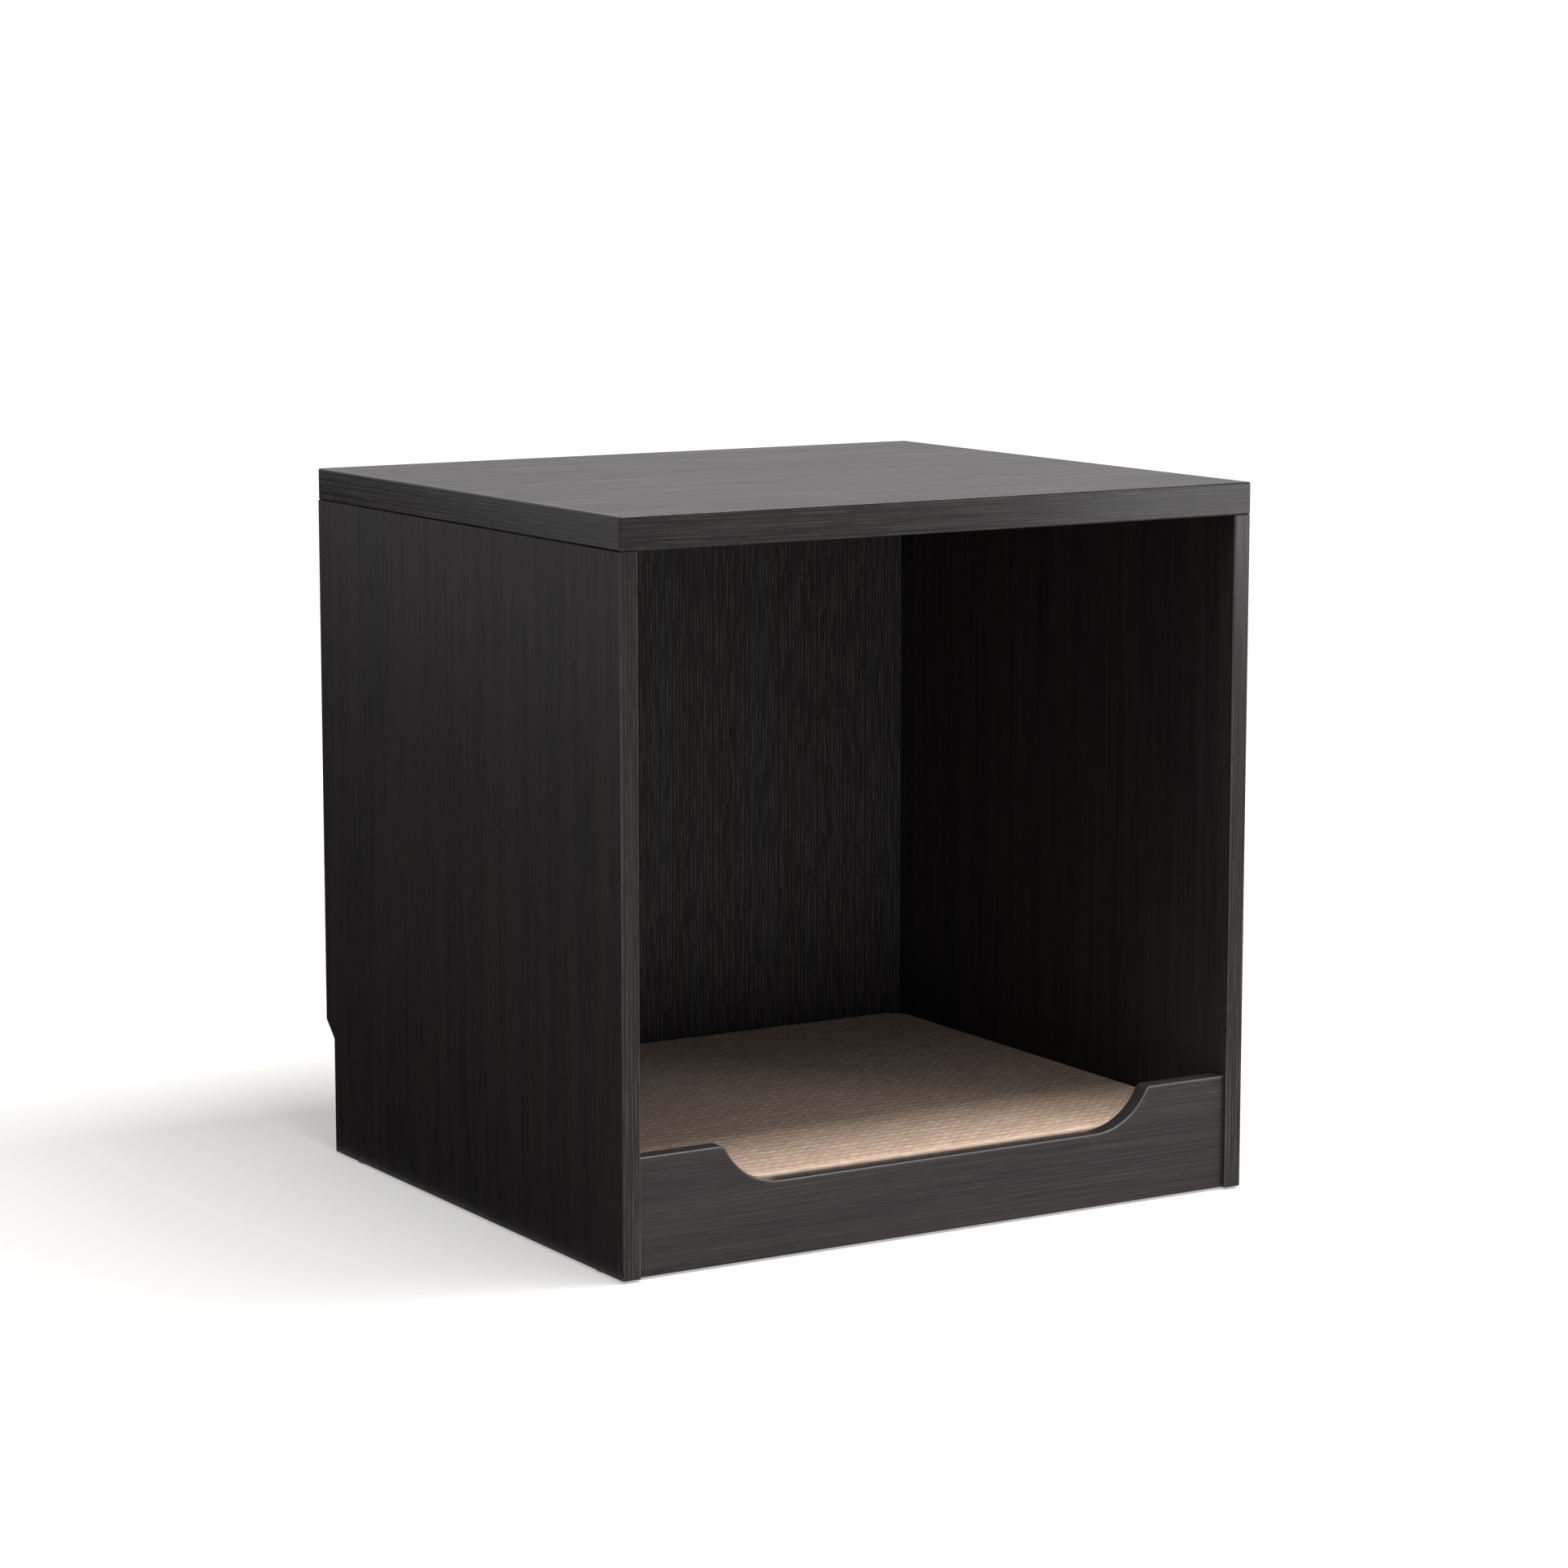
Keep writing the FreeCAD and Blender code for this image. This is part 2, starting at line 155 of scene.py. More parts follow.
class PetTableBoard(bpy.types.PropertyGroup):
    """Colours and grain sizes of the woodgrain decor."""

    ground: colour_value("Ground", "Darkest tone of the decor", "#222021")
    brown: colour_value("Brown", "Warm tone of the broad bands", "#2b2727")
    streak: colour_value("Streak", "Greyed tone of the long fibre streaks", "#4a4544")
    pore: colour_value("Pore", "Light tone of the short pore strokes", "#625b59")
    foil: colour_value("Foil", "Ground tone of the back's printed foil", "#2c2c2e")
    strip: colour_value("Strip", "Ground tone of the edging strips", "#171314")
    # Painted sheen: a greyer ground for the strip on the sill, standing in for the light that its curved
    # top catches
    sill_strip_sheen: colour_value("Sill strip", "Greyer ground tone of the strip on the sill", "#343132")
    # The arris tone is the paler trimmed corner of a strip, made paler still as a painted highlight
    arris_highlight: colour_value("Arris", "Paler tone where the edging was trimmed round", "#6e6a6a")
    band_width: length_value("Band width", "Width of a broad tone band", 16)
    band_length: length_value("Band length", "Length of a broad tone band", 420)
    streak_width: length_value("Streak width", "Width of a fibre streak", 1.0)
    streak_length: length_value("Streak length", "Length of a fibre streak", 170)
    pore_pitch: length_value("Pore pitch", "Distance between two lines of pore strokes", 3.2)
    pore_length: length_value("Pore length", "Length of a pore stroke", 40)
    pore_depth: length_value("Pore depth", "Depth of the pores pressed into the face", 0.12)
    stray: length_value("Stray", "How far the grain wanders sideways", 1.5)
    stray_length: length_value("Stray length", "Distance over which the grain wanders", 240)
    chip: colour_value("Chip", "Pale chips on a raw sawn edge", "#bd9d75")
    chip_shade: colour_value("Chip shade", "Dark chips and glue on a raw sawn edge", "#6d5238")
    chip_size: length_value("Chip size", "Size of a chip in the core of a board", 2.2)
    dust_size: length_value("Dust size", "Size of a grain in the dense faces of a board", 0.9)
    dense_layer: length_value("Dense layer", "Thickness of each dense face of a board", 2.6)
    hardboard: colour_value("Hardboard", "Bare rear face of the back", "#8d6a45")
    hardboard_shade: colour_value("Hardboard shade", "Dark fibres in the back's rear face", "#4f3822")
    fibre_size: length_value("Fibre size", "Size of a fibre clump in the hardboard", 2.5)
    cloud_size: length_value("Cloud size", "Size of a light or dark patch in the hardboard", 70)
    screen_pitch: length_value("Screen pitch", "Pitch of the press screen's print on the back", 3)


class PetTableMat(bpy.types.PropertyGroup):
    """Yarn colours and weave sizes of the mat."""

    yarn: colour_value("Yarn", "Light tone of the yarn", "#e4c9b4")
    yarn_shade: colour_value("Yarn shade", "Dark tone of the yarn", "#b0937d")
    row_pitch: length_value("Row pitch", "Distance between two rows of stitches", 4.8)
    stitch_pitch: length_value("Stitch pitch", "Length of one stitch along its row", 9.6)
    stitch_depth: length_value("Stitch depth", "Height of a stitch above its valleys", 0.9)
    slub_length: length_value("Slub length", "Length of a light or dark stretch of yarn", 10)
    slub_width: length_value("Slub width", "Width of a light or dark stretch of yarn", 3)
    crown: length_value("Crown", "Rise of the middle above the edges", 0.4)
    edge_radius: length_value("Edge radius", "Rounding of the mat's rim", 3)
    corner_radius: length_value("Corner radius", "Rounding of the mat's corners in plan", 22)


class PetTableStage(bpy.types.PropertyGroup):
    """Floor, lights and camera."""

    floor: colour_value("Floor", "Pale floor", "#c9c7c4")
    fill: bpy.props.FloatProperty(
        name="Fill", description="Strength of the soft light from all round", default=0.24)
    key_power: bpy.props.FloatProperty(
        name="Key power", description="Power of the overhead softbox", unit="POWER", default=66.0)
    broad_power: bpy.props.FloatProperty(
        name="Broad power", description="Power of the broad softbox further out", unit="POWER",
        default=5.5)
    strip_power: bpy.props.FloatProperty(
        name="Strip power", description="Power of the low softbox on the right", unit="POWER",
        default=4.2)
    front_power: bpy.props.FloatProperty(
        name="Front power", description="Power of the low softbox in front", unit="POWER", default=0.24)
    kicker_power: bpy.props.FloatProperty(
        name="Kicker power", description="Power of the lamp on the floor before the sill", unit="POWER",
        default=0.36)
    azimuth: bpy.props.FloatProperty(
        name="Azimuth", description="Camera's place round the table", subtype="ANGLE",
        default=math.radians(-31.407))
    elevation: bpy.props.FloatProperty(
        name="Elevation", description="Camera's height above the horizon", subtype="ANGLE",
        default=math.radians(8.753))
    distance: bpy.props.FloatProperty(
        name="Distance", description="Camera's distance from the table's middle", unit="LENGTH",
        default=3.4853)
    aside: bpy.props.FloatProperty(
        name="Aside", description="Camera's offset to its right", unit="LENGTH", default=0.00613)
    above: bpy.props.FloatProperty(
        name="Above", description="Camera's offset upward", unit="LENGTH", default=0.03273)
    lens: bpy.props.FloatProperty(
        name="Lens", description="Focal length on a 36 mm wide sensor", unit="CAMERA", default=102.25)


def add(tree, kind, inputs=None, **settings):
    """Adds a node with its settings, input values and links, and gives its first output in use."""
    made = tree.nodes.new("ShaderNode" + kind)
    for key, value in settings.items():
        setattr(made, key, value)
    for key, value in (inputs or {}).items():
        if isinstance(value, bpy.types.NodeSocket):
            tree.links.new(value, made.inputs[key])
        else:
            made.inputs[key].default_value = value
    return next(output for output in made.outputs if output.enabled)


def start_material(name, **sockets):
    """A material with its shader's constant sockets set, and its tree, shader and coordinates."""
    material = bpy.data.materials.new(name)
    material.use_nodes = True
    tree = material.node_tree
    shader = tree.nodes["Principled BSDF"]
    for socket, value in sockets.items():
        shader.inputs[socket.replace("_", " ")].default_value = value
    return material, tree, shader, add(tree, "TexCoord").node.outputs


def connect(tree, shader, **outputs):
    """Links what was worked out to the shader's sockets of those names."""
    for socket, output in outputs.items():
        tree.links.new(output, shader.inputs[socket.replace("_", " ")])


def place_mesh(name, points, faces):
    """A mesh object of that name in the scene."""
    mesh = bpy.data.meshes.new(name)
    mesh.from_pydata(points, [], faces)
    piece = bpy.data.objects.new(name, mesh)
    bpy.context.scene.collection.objects.link(piece)
    return piece


def dress(node, material):
    """Gives a CAD node its finish in its object's own material slot."""
    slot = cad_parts[node].material_slots[0]
    slot.link = "OBJECT"
    slot.material = material


def facing(tree, coordinates, sides):
    """One on the faces that turn to one of the sides named."""
    turned = 0.0
    for side in sides:
        inputs = {0: coordinates["Normal"], 1: SIDES[side]}
        way = add(tree, "VectorMath", inputs, operation="DOT_PRODUCT")
        turned = add(tree, "Math", {0: turned, 1: way}, operation="MAXIMUM")
    return add(tree, "Math", {0: turned, 1: BARE_TURN}, operation="GREATER_THAN")


def raw_chipboard(node, tree, place, board):
    """Sawn chipboard: a rough core of pale chips and dark glue between two dense faces of fine dust."""
    low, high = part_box(node)
    through = min(range(3), key=lambda axis: high[axis] - low[axis])
    depth = add(tree, "SeparateXYZ", {0: place}).node.outputs[through]
    depth = add(tree, "Math", {0: depth, 1: (low[through] + high[through]) / 2}, operation="SUBTRACT")
    depth = add(tree, "Math", {0: depth}, operation="ABSOLUTE")
    face = (high[through] - low[through]) / 2 - board.dense_layer
    dense = add(tree, "MapRange", {0: depth, 1: face - board.dust_size, 2: face + board.dust_size})
    # Face dust of about 0.4 mm would not show, so its grains are drawn about twice as large
    core, dust = (
        add(tree, "TexVoronoi", {"Vector": place, "Scale": 1 / size}).node.outputs["Color"]
        for size in (board.chip_size, board.dust_size))
    flecks = add(tree, "Mix", {0: dense, 6: core, 7: dust}, data_type="RGBA")
    fleck = add(tree, "SeparateXYZ", {0: flecks})
    tone = add(tree, "Mix", {0: fleck, 6: board.chip_shade, 7: board.chip}, data_type="RGBA")
    return tone, CHIPBOARD_ROUGHNESS, fleck


def raw_hardboard(node, tree, place, board):
    """Bare pressed wood fibre: brown and cloudy, with short fibres and the print of a press screen."""
    cloud, fibre = (
        add(tree, "TexNoise", {"Vector": place, "Scale": 1 / size, "Detail": 4.0})
        for size in (board.cloud_size, board.fibre_size))
    mottle = add(tree, "Mix", {0: CLUMP_SHARE, 2: cloud, 3: fibre})
    # The screen of about 1.5 mm would not show, so it is drawn about twice as coarse
    turns = 2 * math.pi / board.screen_pitch
    wave = add(tree, "VectorMath", {0: place, "Scale": turns}, operation="SCALE")
    wave = add(tree, "VectorMath", {0: wave}, operation="SINE")
    wave = add(tree, "SeparateXYZ", {0: wave}).node.outputs
    screen = add(tree, "Math", {0: wave["X"], 1: wave["Z"]}, operation="MULTIPLY")
    mottle = add(tree, "Math", {0: screen, 1: SCREEN_SHARE, 2: mottle}, operation="MULTIPLY_ADD")
    low, high = MOTTLE_RANGE
    mottle = add(tree, "MapRange", {0: mottle, 1: low, 2: high})
    tone = add(tree, "Mix", {0: mottle, 6: board.hardboard_shade, 7: board.hardboard}, data_type="RGBA")
    return tone, HARDBOARD_ROUGHNESS, mottle


def woodgrain(node, grain, seed, board, decor, outer=None, highlight_paleness=0.0):
    """Dresses a node in printed woodgrain with pressed pores, its grain along the first of two axes.

    Bare sides show the stock, and the corners of a strip are paler where it was trimmed round and paler
    still as a painted highlight. The decor holds its name, bare stock and ground tone, how strong its
    bands, streaks, printed pores and pressed pores are, the roughness of its ground and its streaks, and
    the shader's constant sockets.
    """
    material, tree, shader, coordinates = start_material(decor["name"] + node, **decor["sockets"])
    place = coordinates["Object"]
    along, across = grain
    shift = [step * seed for step in SEED_STEPS]

    # The grain strays a little sideways, so its lines are never ruler straight
    drift = add(tree, "TexNoise", {"Vector": place, "Scale": 1 / board.stray_length, "Detail": 1.0})
    drift = drift.node.outputs["Color"]
    drift = add(tree, "VectorMath", {0: drift, 1: NOISE_MIDDLE}, operation="SUBTRACT")
    drift = add(tree, "VectorMath", {0: drift, "Scale": 2 * board.stray}, operation="SCALE")
    strayed = add(tree, "VectorMath", {0: place, 1: drift}, operation="ADD")

    # Broad warm bands, and long greyed streaks over them, drawn out along the grain
    tone = decor["ground"]
    for width, length, detail, (low, high), most, colour in (
        (board.band_width, board.band_length, 2.0, BAND_RANGE, decor["bands"], board.brown),
        (board.streak_width, board.streak_length, 3.0, STREAK_RANGE, decor["streaks"], board.streak),
    ):
        scale = [1 / (length if axis == along else width) for axis in "XYZ"]
        drawn = add(tree, "Mapping", {"Vector": strayed, "Location": shift, "Scale": scale})
        drawn = add(tree, "TexNoise", {"Vector": drawn, "Scale": 1.0, "Detail": detail})
        drawn = add(tree, "MapRange", {0: drawn, 1: low, 2: high}, interpolation_type="SMOOTHSTEP")
        amount = add(tree, "Math", {0: drawn, 1: most}, operation="MULTIPLY")
        tone = add(tree, "Mix", {0: amount, 6: tone, 7: colour}, data_type="RGBA")
    ground_rough, streak_rough = decor["roughness"]
    rough = add(tree, "MapRange", {0: drawn, 3: ground_rough, 4: streak_rough})

    # Pores lie on lines at an even pitch, each line a little off its place and broken into dashes
    axes = add(tree, "SeparateXYZ", {0: strayed}).node.outputs
    lines = add(tree, "Math", {0: axes[across], 1: board.pore_pitch}, operation="DIVIDE")
    line = add(tree, "Math", {0: lines}, operation="FLOOR")
    line = add(tree, "Math", {0: line, 1: shift[0]}, operation="ADD")
    chance = add(tree, "TexWhiteNoise", {"W": line}, noise_dimensions="1D")
    low, high = LINE_SHARES
    middle = add(tree, "MapRange", {0: chance, 3: low, 4: high})
    aside = add(tree, "Math", {0: lines}, operation="FRACT")
    aside = add(tree, "Math", {0: aside, 1: middle}, operation="SUBTRACT")
    aside = add(tree, "Math", {0: aside}, operation="ABSOLUTE")
    full, gone = STROKE_SHARES
    stroke = add(
        tree, "MapRange", {0: aside, 1: full, 2: gone, 3: 1.0, 4: 0.0}, interpolation_type="SMOOTHSTEP")
    start = add(tree, "Math", {0: chance, 1: DASH_STARTS}, operation="MULTIPLY")
    run = {0: axes[along], 1: 1 / board.pore_length, 2: start}
    run = add(tree, "Math", run, operation="MULTIPLY_ADD")
    dash = add(tree, "TexNoise", {"W": run, "Scale": 1.0, "Detail": 2.0}, noise_dimensions="1D")
    low, high = DASH_RANGE
    dash = add(tree, "MapRange", {0: dash, 1: low, 2: high}, interpolation_type="SMOOTHSTEP")
    pore = add(tree, "Math", {0: stroke, 1: dash}, operation="MULTIPLY")
    amount = add(tree, "Math", {0: pore, 1: decor["pores"]}, operation="MULTIPLY")
    tone = add(tree, "Mix", {0: amount, 6: tone, 7: board.pore}, data_type="RGBA")
    relief = add(tree, "Math", {0: pore, 1: decor["press"]}, operation="MULTIPLY")

    if highlight_paleness:
        # The scraped corner of a strip, between its outer face and its sides, is paler than its print,
        # and is made paler still as a painted highlight
        turned = add(tree, "SeparateXYZ", {0: coordinates["Normal"]}).node.outputs[outer]
        turned = add(tree, "Math", {0: turned}, operation="ABSOLUTE")
        inner, flat = (
            add(tree, "MapRange", {0: turned, 1: low, 2: high, 4: highlight_paleness},
                interpolation_type="SMOOTHSTEP")
            for low, high in ARRIS_HIGHLIGHT_TURNS)
        corner = add(tree, "Math", {0: inner, 1: flat}, operation="SUBTRACT")
        tone = add(tree, "Mix", {0: corner, 6: tone, 7: board.arris_highlight}, data_type="RGBA")
    if node in BARE_SIDES:
        bare = facing(tree, coordinates, BARE_SIDES[node])
        bare_tone, bare_rough, bare_relief = decor["stock"](node, tree, place, board)
        tone = add(tree, "Mix", {0: bare, 6: tone, 7: bare_tone}, data_type="RGBA")
        rough = add(tree, "Mix", {0: bare, 2: rough, 3: bare_rough})
        relief = add(tree, "Mix", {0: bare, 2: relief, 3: bare_relief})
    bump = add(tree, "Bump", {"Strength": PORE_BUMP, "Distance": board.pore_depth, "Height": relief})
    connect(tree, shader, Base_Color=tone, Roughness=rough, Normal=bump)
    dress(node, material)


class PETTABLE_OT_boards(bpy.types.Operator):
    """Faces the chipboard panels with woodgrain melamine"""

    bl_idname = "pettable.boards"
    bl_label = "Face the boards"

    def execute(self, context):
        board = context.scene.pet_table_board
        # Melamine paper pressed on chipboard: a dark satin face with straight fine grain and soft sheen
        decor = {
            "name": "woodgrain_melamine_pressed_", "stock": raw_chipboard, "ground": board.ground,
            "bands": 1.0, "streaks": 0.34, "pores": 0.1, "press": 0.35, "roughness": (0.48, 0.35),
            "sockets": {"IOR": 1.5, "Specular_IOR_Level": 0.16},
        }
        for seed, (node, grain) in enumerate(BOARDS.items()):
            woodgrain(node, grain, seed, board, decor)
        return {"FINISHED"}


class PETTABLE_OT_edging(bpy.types.Operator):
    """Finishes the edging strips in the decor of the boards"""

    bl_idname = "pettable.edging"
    bl_label = "Finish the edging"

    def execute(self, context):
        board = context.scene.pet_table_board
        for seed, (node, strip) in enumerate(EDGINGS.items(), start=len(BOARDS)):
            grain, outer, ground, highlight_paleness, clear = strip
            # Extruded ABS strip printed with that decor: smoother than the face, with a bright arris
            # from its gloss and a painted highlight
            decor = {
                "name": "abs_edging_printed_", "ground": getattr(board, ground),
                "bands": 0.4, "streaks": 0.36 * clear, "pores": 0.24 * clear, "press": 0.24 * clear,
                "roughness": (0.21, 0.21 + 0.14 * clear),
                "sockets": {"IOR": 1.54, "Specular_IOR_Level": 0.18},
            }
            woodgrain(node, grain, seed, board, decor, outer, highlight_paleness)
        return {"FINISHED"}


class PETTABLE_OT_back(bpy.types.Operator):
    """Finishes the thin back, decor inside and bare behind"""

    bl_idname = "pettable.back"
    bl_label = "Finish the back"

    def execute(self, context):
        board = context.scene.pet_table_board
        # Hardboard with a printed paper foil: duller than melamine, with clear upright strokes
        decor = {
            "name": "hardboard_foil_printed_", "stock": raw_hardboard, "ground": board.foil,
            "bands": 1.0, "streaks": 0.15, "pores": 0.54, "press": 0.54, "roughness": (0.5, 0.58),
            "sockets": {"IOR": 1.5, "Specular_IOR_Level": 0.08},
        }
        woodgrain("back_panel", "ZX", len(BOARDS) + len(EDGINGS), board, decor)
        return {"FINISHED"}


class PETTABLE_OT_fittings(bpy.types.Operator):
    """Finishes the cams, bolts, dowels, caps, screws, glides and nails"""

    bl_idname = "pettable.fittings"
    bl_label = "Finish the fittings"

    # Values of the noise between which a finish goes from smooth to dull
    CLOUD_RANGE = (0.3, 0.7)
    # Depth of its marks in mm, and how strongly they show
    MARK_DEPTH = 0.05
    MARK_BUMP = 0.2
    # Name, nodes, two tones, roughness range, metallic, size of the pattern in mm
    FINISHES = (
        # Zinc as it leaves the die: dull grey, faintly cloudy with flow marks
        ("zinc_die_cast", ("cam_locks_top", "cam_locks_floor", "cam_locks_sill"),
         "#8f9194", "#a9abad", (0.42, 0.6), 1.0, 3.0),
        # Turned steel with bright zinc plating: light, slightly blue, with soft patches
        ("steel_zinc_plated",
         ("cam_bolts_top", "cam_bolts_floor", "cam_bolts_sill", "back_screws", "glide_nails"),
         "#b4b8bd", "#cdd0d3", (0.25, 0.4), 1.0, 2.0),
        # Turned beech: pale pinkish wood with short darker flecks
        ("beech_turned", ("dowels_top", "dowels_floor", "dowels_sill"),
         "#c59a6c", "#dcb98d", (0.6, 0.75), 0.0, 1.5),
        # Moulded polypropylene cap: near black as the boards, satin, finely spark-eroded
        ("polypropylene_cap_moulded", ("cam_caps",), "#1f1d1e", "#252323", (0.45, 0.55), 0.0, 0.8),
        # Moulded polyethylene glide: milky grey-white and waxy
        ("polyethylene_glide_moulded", ("floor_glides",), "#cfcdc8", "#dddbd6", (0.4, 0.5), 0.0, 1.2),
    )

    def execute(self, context):
        low, high = self.CLOUD_RANGE
        for name, nodes, shade, light, (smooth, dull), metallic, size in self.FINISHES:
            material, tree, shader, coordinates = start_material(name, Metallic=metallic)
            cloud = add(tree, "TexNoise", {
                "Vector": coordinates["Object"], "Scale": 1 / (size * MM), "Detail": 3.0})
            tone = add(tree, "Mix", {0: cloud, 6: linear(shade), 7: linear(light)}, data_type="RGBA")
            rough = add(tree, "MapRange", {0: cloud, 1: low, 2: high, 3: smooth, 4: dull})
            bump = add(tree, "Bump", {
                "Strength": self.MARK_BUMP, "Distance": self.MARK_DEPTH * MM, "Height": cloud})
            connect(tree, shader, Base_Color=tone, Roughness=rough, Normal=bump)
            for node in nodes:
                dress(node, material)
        return {"FINISHED"}


class PETTABLE_OT_mat(bpy.types.Operator):
    """Weaves the loose mat that lies on the den's floor"""

    bl_idname = "pettable.mat"
    bl_label = "Weave the mat"

    STITCH_STEPS = 4
    ROW_STEPS = 3
    RIM_STEPS = 4
    SEED = 11
    # Every other row is a thinner yarn, so the thicker rows stand up as ribs
    THIN_YARN_SHARE = 0.45
    # Share of its height that a stitch keeps at its ends, and the shares that it is pulled up to
    DIP_SHARE = 0.5
    PULL_SHARES = (0.6, 1.0)
    # The crown is flat in the middle and falls off near the rim, more so with a higher power
    CROWN_POWER = 4
    # Loose fibres of 0.2 mm would not show, so they are drawn 0.9 mm wide
    FIBRE_WIDTH = 0.9
    # Depth of the fibres in mm, and how strongly they show
    FIBRE_DEPTH = 0.3
    FIBRE_BUMP = 0.5
    # What the fibres add to the slubs, and the height of a stitch to both, so that the low valleys
    # between stitches take painted shade
    FIBRE_SHARE = 0.35
    RISE_SHADE_SHARE = 0.4
    YARN_RANGE = (0.28, 0.6)

    def execute(self, context):
        mat = context.scene.pet_table_mat
        piece = self.weave(mat)
        piece.data.materials.append(self.yarn(mat))
        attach(piece, "mat")
        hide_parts("den_mat")
        return {"FINISHED"}

    def weave(self, mat):
        """A closed pad with rows of stitches standing up from its top face."""
        low, high = MAT_BOX
        centre = (low + high) / 2
        half_width = (high.x - low.x) / 2 - mat.edge_radius
        half_depth = (high.y - low.y) / 2 - mat.edge_radius
        corner = mat.corner_radius - mat.edge_radius
        stitches = round(2 * half_width / mat.stitch_pitch)
        rows = round(2 * half_depth / mat.row_pitch)
        columns, lines = stitches * self.STITCH_STEPS, rows * self.ROW_STEPS

        # Rows of stitches run across the mat, each row set half a stitch along from the last
        i, j = np.meshgrid(np.arange(columns + 1), np.arange(lines + 1))
        row = j // self.ROW_STEPS
        along = i + (row % 2) * (self.STITCH_STEPS // 2)
        rib = np.sin(np.pi * (j % self.ROW_STEPS) / self.ROW_STEPS)
        loop = np.sin(np.pi * (along % self.STITCH_STEPS) / self.STITCH_STEPS)
        thickness = np.where(row % 2 == 0, 1.0, self.THIN_YARN_SHARE)
        draw = np.random.default_rng(self.SEED)
        pull = draw.uniform(*self.PULL_SHARES, (rows + 1, stitches + 2))
        arch = self.DIP_SHARE + (1 - self.DIP_SHARE) * loop
        rise = thickness * rib * arch * pull[row, along // self.STITCH_STEPS]
        stitch = mat.stitch_depth * rise

        v = 2 * j / lines - 1
        y = v * half_depth
        past = np.clip(np.abs(y) - (half_depth - corner), 0, corner)
        u = 2 * i / columns - 1
        x = u * (half_width - corner + np.sqrt(corner ** 2 - past ** 2))
        crown = mat.crown * (1 - u ** self.CROWN_POWER) * (1 - v ** self.CROWN_POWER)
        z = high.z - mat.stitch_depth - mat.crown + crown + stitch
        top = np.stack([x + centre.x, y + centre.y, z], -1).reshape(-1, 3)
        index = j * (columns + 1) + i
        corners = [index[:-1, :-1], index[:-1, 1:], index[1:, 1:], index[1:, :-1]]
        faces = np.stack(corners, -1).reshape(-1, 4)

        # The rim rolls out and down from the top's border, and the underside closes it
        border = np.concatenate([index[0, :-1], index[:-1, -1], index[-1, :0:-1], index[:0:-1, 0]])
        ring = top[border]
        ahead, behind = np.roll(ring, -1, 0), np.roll(ring, 1, 0)
        way = (ahead - behind)[:, :2]
        out = np.stack([way[:, 1], -way[:, 0]], -1) / np.linalg.norm(way, axis=1)[:, None]
        points, faces, last = [top], faces.tolist(), border
        rim_top = high.z - mat.stitch_depth - mat.crown
        turn = np.linspace(0, math.pi / 2, self.RIM_STEPS + 1)
        rolled = [(math.sin(t), rim_top - mat.edge_radius * (1 - math.cos(t))) for t in turn[1:]]
        tucked = [(math.cos(t), low.z + mat.edge_radius * (1 - math.sin(t))) for t in turn]
        count = len(top)
        for reach, height in rolled + tucked:
            spread = ring[:, :2] + out * mat.edge_radius * reach
            points.append(np.column_stack([spread, np.full(len(ring), height)]))
            here = np.arange(count, count + len(ring))
            faces.extend(np.stack([last, here, np.roll(here, -1), np.roll(last, -1)], -1).tolist())
            last, count = here, count + len(ring)
        faces.append(last[::-1].tolist())

        piece = place_mesh("woven_mat", np.concatenate(points).tolist(), faces)
        mesh = piece.data
        mesh.validate()
        mesh.shade_smooth()
        # The stitch height is kept for the yarn's painted shade in the valleys, and the rim gets a
        # middle value
        values = np.full(count, self.THIN_YARN_SHARE, np.float32)
        values[:len(top)] = rise.ravel()
        mesh.attributes.new("rise", "FLOAT", "POINT").data.foreach_set("value", values)
        return piece

    def yarn(self, mat):
        """Matt spun yarn, woven: warm tan with lighter and darker slubs and fine loose fibres."""
        material, tree, shader, coordinates = start_material(
            "jute_cotton_yarn_woven", Roughness=0.95, IOR=1.5, Specular_IOR_Level=0.15,
            Sheen_Weight=0.15, Sheen_Roughness=0.6)
        place = coordinates["Object"]
        scale = (1 / mat.slub_length, 1 / mat.slub_width, 1 / mat.slub_width)
        slub = add(tree, "Mapping", {"Vector": place, "Scale": scale})
        slub = add(tree, "TexNoise", {"Vector": slub, "Scale": 1.0, "Detail": 2.0})
        fibre = add(tree, "TexNoise", {
            "Vector": place, "Scale": 1 / (self.FIBRE_WIDTH * MM), "Detail": 2.0})
        rise = add(tree, "Attribute", attribute_name="rise").node.outputs["Fac"]
        mixed = add(tree, "Mix", {0: self.FIBRE_SHARE, 2: slub, 3: fibre})
        # Lower parts of the stitches are drawn in the darker yarn tone as painted shade in the valleys
        mixed = add(tree, "Mix", {0: self.RISE_SHADE_SHARE, 2: mixed, 3: rise})
        low, high = self.YARN_RANGE
        mixed = add(tree, "MapRange", {0: mixed, 1: low, 2: high})
        tone = add(tree, "Mix", {0: mixed, 6: mat.yarn_shade, 7: mat.yarn}, data_type="RGBA")
        bump = add(tree, "Bump", {
            "Strength": self.FIBRE_BUMP, "Distance": self.FIBRE_DEPTH * MM, "Height": fibre})
        connect(tree, shader, Base_Color=tone, Normal=bump)
        return material


